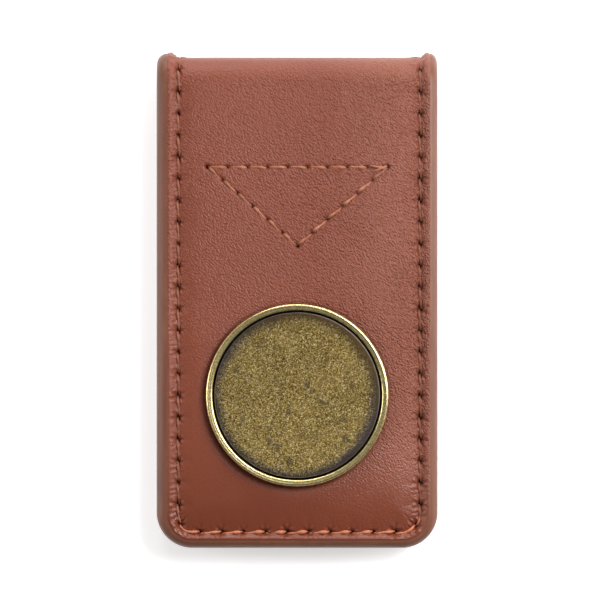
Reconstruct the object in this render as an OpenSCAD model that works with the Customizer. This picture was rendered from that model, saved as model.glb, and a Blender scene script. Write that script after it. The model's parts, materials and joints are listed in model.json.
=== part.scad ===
// Magnetic leather money clip with a lift-out ball marker.
// It lies on its back leaf. +X is across the clip, +Y points at the fold, +Z is out of the front leaf.
// The origin is at the middle of the clip's footprint, on the surface that it rests on.
// Heights called h are measured from the mid-plane between the two leaves, outwards.

/* [Overall] */
// Length from the open end to the top of the fold
clip_length = 76.2; // [72:0.1:84]
// Width across the leather
clip_width = 43.3; // [42:0.1:50]
// Mid-plane to the outer face of a leaf: half of the clip's thickness without the cup
half_thickness = 4.2; // [4.1:0.05:4.4]
// Radius of the two corners at the open end
corner_r = 5.5; // [4.5:0.1:7]

/* [Leather] */
// Outer leather thickness
skin_t = 1.4; // [1.2:0.05:1.5]
// Backing strip, laminated under the leather's border
backing_t = 0.7; // [0.6:0.05:0.8]
// Width of the rounded and painted edge
edge_w = 1.5; // [1.2:0.1:1.5]
// Lining leather thickness
lining_t = 0.8; // [0.7:0.05:0.9]
// Lining's edge, in from the outer leather's
lining_inset = 0.2; // [0.1:0.05:0.5]

/* [Core] */
// Stiffening board thickness
board_t = 1.2; // [1:0.1:1.3]
// Padding thickness, between the board and the outer leather
pad_t = 0.6; // [0.5:0.1:0.7]
// Board edge, in from the clip's edge
board_inset = 4.75; // [4.5:0.05:6]
// Y of the board's end nearest to the fold
board_top = 27; // [24:0.5:27]
// Disc magnet diameter
magnet_d = 20; // [16:0.5:20]
// Disc magnet thickness
magnet_t = 1.5; // [1.2:0.1:1.6]

/* [Marker and cup] */
// Ball marker diameter
marker_d = 25.4; // [24:0.1:25.4]
// Ball marker thickness
marker_t = 1.0; // [0.8:0.1:1.2]
// Y of the cup's centre
cup_y = -14.5; // [-16:0.5:-13]
// Cup rim, outside diameter
cup_d = 28; // [28:0.1:29]
// Cup floor thickness
floor_t = 0.5; // [0.4:0.1:0.6]
// Depth of the recess that holds the marker
recess_depth = 1.5; // [1.4:0.1:1.8]

/* [Stitching] */
// Thread diameter
thread_d = 0.42; // [0.35:0.01:0.45]
// Seam line, in from the clip's edge
seam_inset = 2.85; // [2.7:0.05:3]
// Stitches round one leaf, from fold to fold
leaf_stitches = 51; // [45:1:56]
// Half of the stitched triangle's long side
triangle_half = 13.8; // [12:0.1:14]
// Y of the triangle's long side
triangle_top = 20.5; // [19:0.5:21]
// Y of the triangle's point
triangle_point = 8.4; // [7:0.1:10]

/* [Hidden] */
$fn = 64;

half_l = clip_length / 2;
half_w = clip_width / 2;
fold_y = half_l - half_thickness;               // Y of the fold's axis of curvature
border_h = half_thickness;                      // crest of the border, and face of the padded panel
backing_h = border_h - skin_t - backing_t;      // underside of the border's backing, where the lining is glued on
bend_h = border_h - backing_t;                  // outer face in the fold, where the leather has no backing
flange_h = backing_h - lining_t;                // inner face of the lining at the border and in the fold
panel_under_h = border_h - skin_t;              // underside of the outer leather over the core
floor_h = panel_under_h - pad_t - board_t;      // top of the lining under the core
inner_h = floor_h - lining_t;                   // inner face of the lining under the core: half of the closed gap
board_top_h = floor_h + board_t;                // board's outer face

groove_w = 0.8;                                 // width of the seam groove's floor
groove_slope = 0.7;                             // width of the slope from the border's crest to the groove
rail_w = seam_inset + groove_w / 2;             // width of the border, groove included
edge_foot = 0.45;                               // upright part of the edge, under its rounded part
edge_rise = border_h - backing_h - edge_foot;
ramp_start = board_top + 0.3;                   // Y where the outer leather leaves the core
ramp_end = board_top + 3;                       // Y where it has come down to the bend's level
slack = 0.1;                                    // room round the board in the lining's tray

strips = 2;                                     // pieces that stand for the bending leather of the fold
step_deg = 180 / (strips + 1);                  // turn from one hinge line to the next
hinge_r = bend_h;                               // hinge lines lie in the leather's outer face
hinge_gap = 0.06;                               // half of the gap at a hinge line
relief_deg = step_deg / 2 + 2;                  // slant that lets the border close up as the fold opens
relief_l = 1.2;                                 // length of the slanted faces, past the border's crest
sector_r = 0.7;                                 // inner end of a sector, inside the lining

recess_r = marker_d / 2 + 0.3;                  // recess wall, with running room for the marker
cup_r = cup_d / 2;
cup_seat_h = border_h - 0.2;                    // the cup beds a little into the padded leather
recess_h = cup_seat_h + floor_t;                // floor of the recess
rim_h = recess_h + recess_depth;                // top of the rim
marker_h = recess_h + 0.05;                     // underside of the marker
rim_bevel = 0.2;

prongs = 4;
prong_r = 11.35;                                // inner face of a prong
prong_t = 0.5;
prong_w = 3;
prong_foot = 2;                                 // length of the bent foot
foot_t = 0.4;
washer_t = 0.4;
washer_r = 13.6;
washer_bore_r = 10.7;
slit_room = 0.1;                                // room round a prong in its slit
washer_under_h = panel_under_h - washer_t;
foot_h = washer_under_h - foot_t;

lay = 0.02;                                     // clearance of a thread above the leather it lies on
groove_floor_h = bend_h;
outer_thread_h = groove_floor_h + lay + thread_d / 2;
inner_thread_h = flange_h - lay - thread_d / 2;
mark_groove_w = 0.7;                            // groove under the triangle's stitches
mark_groove_d = 0.3;
mark_lining_d = 0.4;
mark_outer_h = border_h - mark_groove_d + lay + thread_d / 2;
mark_inner_h = inner_h + mark_lining_d - lay - thread_d / 2;
stitch_trim = 0.45;                             // a stitch's end, short of its hole's middle
mark_trim = 0.65;                               // the same on the triangle, which keeps its corners apart
fold_stitch_l = 2.1;
fold_bobbin_l = 0.7;
mark_long_stitches = 9;
mark_short_stitches = 6;
triangle = [[-triangle_half, triangle_top], [triangle_half, triangle_top], [0, triangle_point]];

seam_r = corner_r - seam_inset;
side_l = fold_y + half_l - corner_r;
turn_l = seam_r * PI / 2;
end_l = clip_width - 2 * corner_r;
seam_l = 2 * side_l + 2 * turn_l + end_l;
fold_half_stitch = hinge_r * PI * step_deg / 360;   // part of the stitch at the fold that lies on the leaf
pitch = (seam_l - 2 * fold_half_stitch) / leaf_stitches;

saddle = "sienna";
thread_colour = "chocolate";

// ---- Helpers ----

// Sweeps a profile drawn as (y, h) along X, centred
module along_x(w) {
    translate([-w / 2, 0, 0]) rotate([90, 0, 90]) linear_extrude(w) children();
}

// Sweeps a profile drawn as (x, h) along Y, from y0 to y1
module along_y(y0, y1) {
    translate([0, y1, 0]) rotate([90, 0, 0]) linear_extrude(y1 - y0) children();
}

// Puts something drawn with Z as height above the mid-plane on the front leaf or on the back leaf
module on_leaf(front) {
    translate([0, 0, half_thickness]) mirror([0, 0, front ? 0 : 1]) children();
}

// Leaf outline, square at the fold and round at the open end's corners
module leaf_outline(inset) {
    translate([-half_w + inset, -half_l + corner_r]) square([clip_width - 2 * inset, side_l]);
    translate([-half_w + corner_r, -half_l + inset]) square([end_l, corner_r - inset + 1]);
    for (side = [-1, 1]) translate([side * (half_w - corner_r), -half_l + corner_r]) circle(corner_r - inset);
}

// Outline of the core's pocket, made larger or smaller by grow
module core_outline(grow) {
    r = 1.5;
    w = clip_width - 2 * board_inset;
    y0 = -half_l + board_inset;
    l = board_top - y0;
    translate([-w / 2 - grow, y0 + r]) square([w + 2 * grow, l - 2 * r]);
    translate([-w / 2 + r, y0 - grow]) square([w - 2 * r, l + 2 * grow]);
    for (x = [-w / 2 + r, w / 2 - r], y = [y0 + r, board_top - r]) translate([x, y]) circle(r + grow);
}

// Outer surface of the border, from its underside round the edge to the groove, as (distance in, h)
function border_surface() = concat(
    [[0, backing_h]],
    [for (a = [0 : 15 : 90]) [edge_w - edge_w * cos(a), border_h - edge_rise + edge_rise * sin(a)]],
    [
        [seam_inset - groove_w / 2 - groove_slope, border_h],
        [seam_inset - groove_w / 2, bend_h],
        [rail_w, bend_h]
    ]
);

// The border's whole section
function border_section() = concat(border_surface(), [[rail_w, backing_h]]);

// A section moved to one side of the clip, as (x, h)
function to_side(section, side) = [for (p = section) [side * (half_w - p[0]), p[1]]];

function reversed(list) = [for (i = [len(list) - 1 : -1 : 0]) list[i]];

// ---- The fold ----

// Direction from the fold's axis at an angle round the fold, as (y, z): 0 is down, 90 is along +Y, 180 is up
function fold_dir(a) = [sin(a), -cos(a)];
function fold_tangent(a) = [cos(a), sin(a)];

// One corner of a sector: a point at radius r on the ray at angle a, moved off the ray by gap
function ray_point(a, r, gap) = r * fold_dir(a) + gap * fold_tangent(a);

// Sector of the fold between angles a and b. A side that meets a hinge line keeps clear of it, and slants past it.
module sector(a, b, hinged_a, hinged_b) {
    ga = hinged_a ? hinge_gap : 0;
    gb = hinged_b ? -hinge_gap : 0;
    a_out = ray_point(a, hinge_r, ga);
    b_out = ray_point(b, hinge_r, gb);
    along_x(clip_width + 2) polygon([
        ray_point(a, sector_r, ga),
        ray_point(b, sector_r, gb),
        b_out,
        b_out + relief_l * fold_dir(b - (hinged_b ? relief_deg : 0)),
        a_out + relief_l * fold_dir(a + (hinged_a ? relief_deg : 0)),
        a_out
    ]);
}

// Cuts the children, drawn round the fold's axis, to strip n. Strips 0 and strips + 1 belong to the leaves.
module fold_strip(n) {
    a = n == 0 ? 0 : (n - 0.5) * step_deg;
    b = n == strips + 1 ? 180 : (n + 0.5) * step_deg;
    translate([0, fold_y, half_thickness]) intersection() {
        children();
        sector(a, b, n > 0, n < strips + 1);
    }
}

// The outer leather all the way round the fold's axis
module leather_ring() {
    section = concat(to_side(border_surface(), -1), reversed(to_side(border_surface(), 1)));
    rotate([0, 90, 0]) rotate_extrude() polygon([for (p = section) [p[1], p[0]]]);
}

module lining_ring() {
    w = clip_width - 2 * lining_inset;
    rotate([0, 90, 0]) rotate_extrude() translate([flange_h, -w / 2]) square([lining_t, w]);
}

module fold_leather(n) {
    color(saddle) fold_strip(n) leather_ring();
}

module fold_lining(n) {
    color("peru") fold_strip(n) lining_ring();
}

// One stitch and its bobbin stitch on each side of the fold, at an angle round it
module fold_stitches(angle) {
    for (side = [-1, 1]) translate([side * (half_w - seam_inset), fold_y, half_thickness])
        rotate([angle - 90, 0, 0]) {
            translate([0, outer_thread_h, 0]) cylinder(h = fold_stitch_l, d = thread_d, center = true);
            translate([0, inner_thread_h, 0]) cylinder(h = fold_bobbin_l, d = thread_d, center = true);
        }
}

module fold_thread(n) {
    color(thread_colour) fold_stitches(n * step_deg);
}

// ---- The leaves ----

module leaf_border() {
    for (side = [-1, 1]) {
        along_y(-half_l + corner_r, fold_y) polygon(to_side(border_section(), side));
        translate([side * (half_w - corner_r), -half_l + corner_r, 0]) rotate([0, 0, side > 0 ? 270 : 180])
            rotate_extrude(angle = 90) polygon([for (p = border_section()) [corner_r - p[0], p[1]]]);
    }
    along_x(end_l) polygon([for (p = border_section()) [-half_l + p[0], p[1]]]);
}

// The leather inside the seam: a raised panel over the core, which comes down to the bend near the fold
module leaf_panel() {
    intersection() {
        along_x(clip_width) polygon([
            [-half_l, panel_under_h], [ramp_start, panel_under_h], [ramp_end, backing_h], [fold_y, backing_h],
            [fold_y, bend_h], [ramp_end, bend_h], [ramp_start, border_h], [-half_l, border_h]
        ]);
        linear_extrude(half_thickness + 1) leaf_outline(rail_w);
    }
}

module leaf_leather() {
    leaf_border();
    leaf_panel();
}

// A tray for the core, with a flange that is sewn to the border
module leaf_lining() {
    difference() {
        union() {
            translate([0, 0, flange_h]) linear_extrude(lining_t) leaf_outline(lining_inset);
            translate([0, 0, inner_h]) linear_extrude(backing_h - inner_h) core_outline(lining_t);
        }
        translate([0, 0, floor_h]) linear_extrude(half_thickness) core_outline(0);
    }
}

module magnet_hole() {
    translate([0, cup_y, 0]) cylinder(h = half_thickness, d = magnet_d + 0.3);
}

module leaf_board() {
    difference() {
        translate([0, 0, floor_h]) linear_extrude(board_t) core_outline(-slack);
        magnet_hole();
    }
}

module leaf_padding(hole_d) {
    difference() {
        translate([0, 0, board_top_h]) linear_extrude(pad_t) core_outline(-slack);
        translate([0, cup_y, 0]) cylinder(h = half_thickness, d = hole_d);
    }
}

module leaf_magnet() {
    translate([0, cup_y, floor_h]) cylinder(h = magnet_t, d = magnet_d);
}

// ---- Stitching ----

// Point on the seam line of a leaf, a distance s along it from the fold on the -X side
function seam_point(s) =
    s > seam_l / 2 ? let (p = seam_point(seam_l - s)) [-p[0], p[1]] :
    s < side_l ? [-half_w + seam_inset, fold_y - s] :
    s < side_l + turn_l ?
        let (a = 180 + (s - side_l) / turn_l * 90)
        [-half_w + corner_r + seam_r * cos(a), -half_l + corner_r + seam_r * sin(a)] :
    [-half_w + corner_r + s - side_l - turn_l, -half_l + seam_inset];

// A straight stitch as long and as steep as the line from p to q, with its middle at m and at height h
module stitch(p, q, m, h) {
    run = q - p;
    translate([m[0], m[1], h]) rotate([0, 90, atan2(run[1], run[0])])
        cylinder(h = norm(run), d = thread_d, center = true);
}

// The stitches between the holes of one leaf. On a corner each one is a chord, centred on the groove.
module leaf_seam() {
    for (i = [0 : leaf_stitches - 1]) {
        s = fold_half_stitch + i * pitch;
        p = seam_point(s + stitch_trim);
        q = seam_point(s + pitch - stitch_trim);
        m = (p + q) / 4 + seam_point(s + pitch / 2) / 2;
        stitch(p, q, m, outer_thread_h);
        stitch(p, q, m, inner_thread_h);
    }
}

module back_seam_thread() {
    color(thread_colour) {
        on_leaf(false) leaf_seam();
        fold_stitches(0);
    }
}

module front_seam_thread() {
    color(thread_colour) {
        on_leaf(true) leaf_seam();
        fold_stitches(180);
    }
}

// Calls its child once for each side of the triangle, with $p, $q and $n set
module each_triangle_side() {
    for (i = [0 : 2]) {
        $p = triangle[i];
        $q = triangle[(i + 1) % 3];
        $n = i == 0 ? mark_long_stitches : mark_short_stitches;
        children();
    }
}

module triangle_thread() {
    color(thread_colour) on_leaf(true) each_triangle_side() {
        trim = mark_trim / norm($q - $p);
        for (i = [0 : $n - 1]) {
            p = $p + ($q - $p) * (i / $n + trim);
            q = $p + ($q - $p) * ((i + 1) / $n - trim);
            stitch(p, q, (p + q) / 2, mark_outer_h);
            stitch(p, q, (p + q) / 2, mark_inner_h);
        }
    }
}

// Grooves along the triangle, cut between heights h0 and h1
module triangle_grooves(h0, h1) {
    each_triangle_side() {
        run = $q - $p;
        translate([$p[0], $p[1], h0]) rotate([0, 0, atan2(run[1], run[0])])
            translate([-mark_groove_w / 2, -mark_groove_w / 2, 0])
                cube([norm(run) + mark_groove_w, mark_groove_w, h1 - h0]);
    }
}

// ---- Cup, washer and marker ----

// Calls its child at each prong, with +X outwards
module each_prong() {
    for (i = [0 : prongs - 1]) translate([0, cup_y, 0]) rotate([0, 0, 45 + i * 360 / prongs]) children();
}

module prong_slit(h0, h1) {
    each_prong() translate([prong_r - slit_room, -prong_w / 2 - slit_room, h0])
        cube([prong_t + 2 * slit_room, prong_w + 2 * slit_room, h1 - h0]);
}

module cup_base() {
    color("darkkhaki") on_leaf(true) {
        translate([0, cup_y, cup_seat_h]) cylinder(h = floor_t, r = cup_r);
        each_prong() {
            translate([prong_r, -prong_w / 2, foot_h]) cube([prong_t, prong_w, cup_seat_h - foot_h]);
            translate([prong_r, -prong_w / 2, foot_h]) cube([prong_foot, prong_w, foot_t]);
        }
    }
}

module cup_rim() {
    color("darkkhaki") on_leaf(true) translate([0, cup_y, 0]) rotate_extrude() polygon([
        [cup_r, recess_h], [cup_r, rim_h - rim_bevel], [cup_r - rim_bevel, rim_h],
        [recess_r + rim_bevel, rim_h], [recess_r, rim_h - rim_bevel], [recess_r, recess_h]
    ]);
}

module cup_washer() {
    color("silver") on_leaf(true) difference() {
        translate([0, cup_y, washer_under_h]) difference() {
            cylinder(h = washer_t, r = washer_r);
            translate([0, 0, -1]) cylinder(h = washer_t + 2, r = washer_bore_r);
        }
        prong_slit(washer_under_h - 1, panel_under_h + 1);
    }
}

module ball_marker() {
    r = marker_d / 2;
    bevel = 0.15;
    color("olive") on_leaf(true) translate([0, cup_y, marker_h]) rotate_extrude() polygon([
        [0, 0], [r - bevel, 0], [r, bevel], [r, marker_t - bevel], [r - bevel, marker_t], [0, marker_t]
    ]);
}

// ---- Back leaf ----

module back_outer_leather() {
    color(saddle) {
        on_leaf(false) leaf_leather();
        fold_leather(0);
    }
}

module back_lining() {
    color("peru") {
        on_leaf(false) leaf_lining();
        fold_lining(0);
    }
}

module back_board() {
    color("tan") on_leaf(false) leaf_board();
}

module back_padding() {
    color("wheat") on_leaf(false) leaf_padding(magnet_d + 0.3);
}

module back_magnet() {
    color("lightgray") on_leaf(false) leaf_magnet();
}

// ---- Front leaf ----

module front_outer_leather() {
    color(saddle) {
        on_leaf(true) difference() {
            leaf_leather();
            translate([0, cup_y, cup_seat_h]) cylinder(h = 1, r = cup_r + 0.05);
            prong_slit(panel_under_h - 1, border_h + 1);
            triangle_grooves(border_h - mark_groove_d, border_h + 1);
        }
        fold_leather(strips + 1);
    }
}

module front_lining() {
    color("peru") {
        on_leaf(true) difference() {
            leaf_lining();
            triangle_grooves(inner_h - 1, inner_h + mark_lining_d);
        }
        fold_lining(strips + 1);
    }
}

module front_board() {
    color("tan") on_leaf(true) difference() {
        leaf_board();
        translate([0, cup_y, foot_h - 0.05]) difference() {
            cylinder(h = 1, r = washer_r);
            translate([0, 0, -1]) cylinder(h = 3, r = prong_r - 0.3);
        }
    }
}

module front_padding() {
    color("wheat") on_leaf(true) leaf_padding(2 * washer_r + 0.4);
}

module front_magnet() {
    color("lightgray") on_leaf(true) leaf_magnet();
}

back_outer_leather();
back_padding();
back_board();
back_magnet();
back_lining();
back_seam_thread();
fold_leather(1);  // fold_leather_1
fold_leather(2);  // fold_leather_2
fold_lining(1);  // fold_lining_1
fold_lining(2);  // fold_lining_2
fold_thread(1);  // fold_thread_1
fold_thread(2);  // fold_thread_2
front_outer_leather();
front_padding();
front_board();
front_magnet();
front_lining();
front_seam_thread();
triangle_thread();
cup_base();
cup_rim();
cup_washer();
ball_marker();
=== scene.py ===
import json
import math

import bmesh
import bpy
import numpy as np
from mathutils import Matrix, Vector


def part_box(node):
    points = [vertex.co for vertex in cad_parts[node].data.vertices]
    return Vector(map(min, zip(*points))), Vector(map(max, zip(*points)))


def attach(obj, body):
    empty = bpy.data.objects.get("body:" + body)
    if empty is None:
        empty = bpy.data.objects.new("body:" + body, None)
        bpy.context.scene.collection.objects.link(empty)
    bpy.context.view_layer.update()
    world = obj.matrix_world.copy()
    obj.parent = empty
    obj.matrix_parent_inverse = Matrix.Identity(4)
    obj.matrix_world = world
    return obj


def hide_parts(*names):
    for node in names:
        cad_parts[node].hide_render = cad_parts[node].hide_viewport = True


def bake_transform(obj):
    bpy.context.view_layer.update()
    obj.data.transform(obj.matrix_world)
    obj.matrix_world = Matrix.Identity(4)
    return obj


# Magnetic leather money clip with a ball marker in a brass cup. The meshes are worked out in millimetres.
# A height h is measured from the mid-plane between the two leaves, outwards, on either leaf.
# A place on the seam is given by s, its distance along the seam from the fold on the -X side. Below zero,
# and above SEAM_L, it goes on round the fold. The distance in from the clip's edge is d.

MM = 0.001
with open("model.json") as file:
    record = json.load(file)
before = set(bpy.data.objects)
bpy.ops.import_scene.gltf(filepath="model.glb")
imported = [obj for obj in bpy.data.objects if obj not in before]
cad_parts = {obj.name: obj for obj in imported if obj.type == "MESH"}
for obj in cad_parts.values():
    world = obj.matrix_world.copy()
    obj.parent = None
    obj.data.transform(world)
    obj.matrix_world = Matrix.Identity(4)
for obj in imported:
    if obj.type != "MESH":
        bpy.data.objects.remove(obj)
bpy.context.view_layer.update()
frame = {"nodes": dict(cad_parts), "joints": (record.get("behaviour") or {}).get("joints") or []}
scene = bpy.context.scene


def box_mm(node):
    low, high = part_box(node)
    return np.array(low) / MM, np.array(high) / MM


# ---- Sizes that come from the frame ----
leather_low, leather_high = box_mm("front_outer_leather")
marker_low, marker_high = box_mm("ball_marker")
rim_low, rim_high = box_mm("cup_rim")
hinge = np.array(frame["joints"][0]["pos_m"]) / MM

HALF_W = leather_high[0]
HALF_L = -leather_low[1]
HALF_T = leather_high[2] / 2  # mid-plane's Z, and the crest of the leather's h
FOLD_Y = HALF_L - HALF_T  # the fold's axis of curvature
BEND_R = math.hypot(hinge[1] - FOLD_Y, hinge[2] - HALF_T)
INNER_H = box_mm("front_lining")[0][2] - HALF_T  # inner face of the lining's tray
CUP_Y = (rim_low[1] + rim_high[1]) / 2
CUP_R = rim_high[0]
CUP_FLOOR_H = rim_low[2] - HALF_T
CUP_TOP_H = rim_high[2] - HALF_T
MARKER_R = marker_high[0]
MARKER_H0, MARKER_H1 = marker_low[2] - HALF_T, marker_high[2] - HALF_T
THREAD_R = 0.21
SEAM_D = HALF_W - (box_mm("front_seam_thread")[1][0] - THREAD_R)

# ---- Other sizes, as in the CAD ----
CORNER_R = 5.5
BACKING_H = 2.1  # underside of the outer leather at the border and in the fold
PANEL_UNDER_H = 2.8  # underside of the outer leather over the core
CUP_SEAT_H = 4.0
RECESS_R = 13.0
CORE_D = 4.75  # the core's edge
CORE_TOP_Y = 27.0
CORE_CORNER_R = 1.5
LINING_T = 0.8
LINING_D = 0.2
TRAY_FLOOR_H = INNER_H + LINING_T
FLANGE_H = BACKING_H - LINING_T
STRIPS = 2
STEP = math.pi / (STRIPS + 1)
STITCHES = 51
TRIANGLE = np.array([[-13.8, 20.5], [13.8, 20.5], [0.0, 8.4]])
# The triangle's rows of stitches, along its top, right and left side: from, to, and how many
TACK_ROWS = [(TRIANGLE[i], TRIANGLE[(i + 1) % 3], count) for i, count in enumerate((9, 6, 6))]
PRONG_R, PRONG_W, PRONG_FOOT = 11.35, 3.0, 2.0
PRONG_FOOT_H, PRONG_T = 2.0, 0.4

X_IN = HALF_W - CORNER_R  # half width of the leaf's middle field
Y_IN = -HALF_L + CORNER_R
SIDE_L = FOLD_Y - Y_IN
TURN_L = (CORNER_R - SEAM_D) * math.pi / 2
END_L = 2 * X_IN
SEAM_L = 2 * SIDE_L + 2 * TURN_L + END_L
FOLD_STITCH = BEND_R * STEP
PITCH = (SEAM_L - FOLD_STITCH) / STITCHES

# ---- The outer leather's surface ----
EDGE_W = 1.2  # painted edge
EDGE_FOOT_H = BACKING_H + 0.45
PAINT_CREST_H = HALF_T - 0.1
RIDGE_D = 1.42  # crest of the grain leather's edge
VALLEY_H = 3.62  # the seam's valley
VALLEY_DROP = 0.12  # the seam's valley in the fold, below the bend
VALLEY_SINK, SINK_L = 0.1, 0.55  # how much deeper it is at each hole, and how far along
SLOPE_POWER, PILLOW_POWER = 1.15, 2.4  # how the border and the panel curve down to the valley
PANEL_D = 8.5  # where the pillowed panel reaches its full height
BEND_CREST = BEND_R + 0.22  # the panel's radius at the fold's tip
BEND_START_Y = 26.0  # from here the panel comes down to the fold
FOLD_PLUMP = 0.444  # part of the way down that the panel still has to go at FOLD_Y
FOLD_SWELL, SWELL_L = 0.25, 5.0  # how far the border stands out further in the fold, and its reach
HOLE_DEPTH, HOLE_L, HOLE_W = 0.95, 0.42, 0.3
PUCKER_H, PUCKER_R, PUCKER_W = 0.11, 0.68, 0.62  # the star of puckers round each hole
WRINKLE_PITCH = 0.83
WRINKLES = ((0.07, 2.15, 0.75), (0.03, 3.5, 0.7))  # height, d and reach of those beside the seam
# The border isn't equally wide on every side: how far inwards its ridge and its seam are moved
LEFT_RIDGE, LEFT_SEAM = 0.42, 0.62
END_RIDGE, END_SEAM = 0.05, -0.33
# Unevenness of the panel: its height, number of waves, and their shortest and longest length
UNEVEN_H, UNEVEN_WAVES = 0.02, (9, 6, 17)
FRONT_SEED, BACK_SEED = 5, 6
TACK_PRESS = (-0.1, 0.33, -0.6, 0.24)  # depth and width of the triangle's lines and of its holes
TACK_RAISE = (0.14, 0.35, 0.22, 0.26)  # the same on the lining, where they stand up
TACK_HOLE_R = (0.15, 0.08, 0.15)  # radius of the painted shade in the holes, along the top, right and left side
CUP_PRESS, CUP_PRESS_W = 0.1, 1.6  # the dent round the cup

# ---- Fineness: mesh cells along one stitch ----
SKIN_CELLS = {"front": 17, "back": 11}
FOLD_CELLS, LINING_CELLS = 11, 9
RIGHT_HOLES, FOLD_HOLES = 29, 60  # where the numbers of the needle holes start on the +X side and in the fold


# ---- Meshes ----
def smooth(t):
    """From 0 at 0 to 1 at 1, level at both ends."""
    t = np.clip(t, 0.0, 1.0)
    return t * t * (3 - 2 * t)


def bump(t):
    """1 at 0, falling to 0 at 1 and beyond, on either side."""
    return smooth(1 - np.abs(t))


def bell(t):
    return np.exp(-t ** 2)


def unit(vectors):
    return vectors / np.linalg.norm(vectors, axis=1)[:, None]


def joined(*parts):
    """Points from their coordinates, which are numbers or arrays."""
    return np.stack(np.broadcast_arrays(*parts), axis=-1)


def centres(values):
    """A grid's values at the middles of its faces."""
    return (values[:-1, :-1] + values[1:, :-1] + values[:-1, 1:] + values[1:, 1:]) / 4


def in_scene(name, data):
    thing = bpy.data.objects.new(name, data)
    scene.collection.objects.link(thing)
    return thing


class Soup:
    """Points, in millimetres, and faces gathered before they become a mesh."""

    def __init__(self):
        self.points, self.faces, self.materials, self.count = [], [], [], 0

    def add_points(self, points):
        """The vertex numbers of new points, in the same shape as the points."""
        points = np.asarray(points, dtype=float)
        shape = points.shape[:-1]
        ids = self.count + np.arange(int(np.prod(shape))).reshape(shape)
        self.points.append(points.reshape(-1, 3))
        self.count += ids.size
        return ids

    def add_grid(self, ids, material=0):
        """Faces of a grid of vertex numbers, with one material or a material for each."""
        quads = joined(ids[:-1, :-1], ids[:-1, 1:], ids[1:, 1:], ids[1:, :-1]).reshape(-1, 4)
        self.faces += quads.tolist()
        self.materials += np.broadcast_to(np.ravel(material), len(quads)).tolist()

    def add_band(self, first, second, material=0):
        """Faces between two rows of vertices."""
        self.add_grid(np.stack([first, second]), material)

    def add_tube(self, ids):
        """Faces of a grid whose rows are closed rings."""
        self.add_grid(np.concatenate([ids, ids[:, :1]], axis=1))

    def add_polygon(self, material, *rows):
        """One flat face round the vertices of all the rows."""
        ids = np.concatenate(rows)
        if len(ids) > 2:
            self.faces.append([int(i) for i in ids])
            self.materials.append(material)

    def mesh(self, name, materials, sharp_deg=50):
        """One closed piece. Points that coincide become one."""
        mesh = bpy.data.meshes.new(name)
        mesh.from_pydata((np.concatenate(self.points) * MM).tolist(), [], self.faces)
        for material in materials:
            mesh.materials.append(material)
        mesh.polygons.foreach_set("material_index", np.asarray(self.materials, dtype=np.int32))
        bm = bmesh.new()
        bm.from_mesh(mesh)
        bmesh.ops.remove_doubles(bm, verts=bm.verts, dist=1e-7)
        bmesh.ops.recalc_face_normals(bm, faces=bm.faces)
        bm.to_mesh(mesh)
        bm.free()
        mesh.shade_smooth()
        mesh.set_sharp_from_angle(angle=math.radians(sharp_deg))
        return in_scene(name, mesh)


def on_leaf(x, y, h, front):
    """Points in the row frame from a leaf's own x, y and height."""
    return joined(x, y, HALF_T + h if front else HALF_T - h)


def round_fold(x, r, angle):
    """Points at radius r and an angle round the fold: 0 is down, at the back leaf, and pi is up."""
    return joined(x, FOLD_Y + r * np.sin(angle), HALF_T - r * np.cos(angle))


# ---- Places round a leaf ----
class Outline:
    """Stations round a leaf: their places, the directions inwards, their s, and the field inside."""

    def __init__(self, cells):
        n_side, n_turn, n_end = (max(4, round(length / (PITCH / cells)))
                                 for length in (SIDE_L, CORNER_R * math.pi / 2, END_L))
        y = np.linspace(FOLD_Y, Y_IN, n_side + 1)
        turn = np.linspace(0, math.pi / 2, n_turn + 1)[1:-1]
        x = np.linspace(-X_IN, X_IN, n_end + 1)
        round_out = joined(-np.cos(turn), -np.sin(turn))
        left = np.concatenate([joined(-HALF_W, y), [-X_IN, Y_IN] + CORNER_R * round_out])
        left_in = np.concatenate([np.tile([1.0, 0.0], (len(y), 1)), -round_out])
        left_s = np.concatenate([FOLD_Y - y, SIDE_L + turn / (math.pi / 2) * TURN_L])
        mirror = np.array([-1.0, 1.0])
        self.places = np.concatenate([left, joined(x, -HALF_L), left[::-1] * mirror])
        self.inward = np.concatenate([left_in, np.tile([0.0, 1.0], (len(x), 1)), left_in[::-1] * mirror])
        self.s = np.concatenate([left_s, SIDE_L + TURN_L + x + X_IN, SEAM_L - left_s[::-1]])
        self.x, self.field = x, np.meshgrid(x, y)

    def inset(self, distance):
        """x and y of the stations, moved inwards."""
        return (self.places[:, 0] + distance * self.inward[:, 0],
                self.places[:, 1] + distance * self.inward[:, 1])

    def add_face(self, soup, lines, shift, field_d, surface):
        """A leaf's face: the strip over the seam, the d and s of its points, and the field inside it."""
        d, s = np.meshgrid(lines, self.s, indexing="ij")
        strip = soup.add_points(surface(*self.inset(d + shift(d, s)), d, s))
        x, y = self.field
        return strip, d, s, soup.add_points(surface(x, y, field_d, np.full_like(x, SIDE_L / 2)))

    def add_rings(self, soup, ring, front, *steps):
        """Bands from a ring to each distance inwards and height in turn, with their materials."""
        rings = [ring]
        for d, h, material in steps:
            rings.append(soup.add_points(on_leaf(*self.inset(d), h, front)))
            soup.add_band(*rings[-2:], material)
        return rings[1:]


def nearest_hole(s):
    """Distance along the seam from the nearest needle hole, and that hole's number."""
    past = np.maximum(FOLD_STITCH / 2 - s, s - (SEAM_L - FOLD_STITCH / 2))
    count = np.where(past > 0, past / FOLD_STITCH, (s - FOLD_STITCH / 2) / PITCH)
    number = np.round(count)
    step = np.where(past > 0, np.where(s < 0, -FOLD_STITCH, FOLD_STITCH), PITCH)
    return (count - number) * step, np.where(past > 0, FOLD_HOLES + number, number)


def hole_size(number):
    """No two needle holes are torn equally wide, and those on the +X side are the widest."""
    size = 1 + 0.16 * np.sin(5.1 * number) + 0.12 * np.sin(2.3 * number + 1)
    return size + 0.3 * smooth((number - RIGHT_HOLES) / 4)


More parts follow.
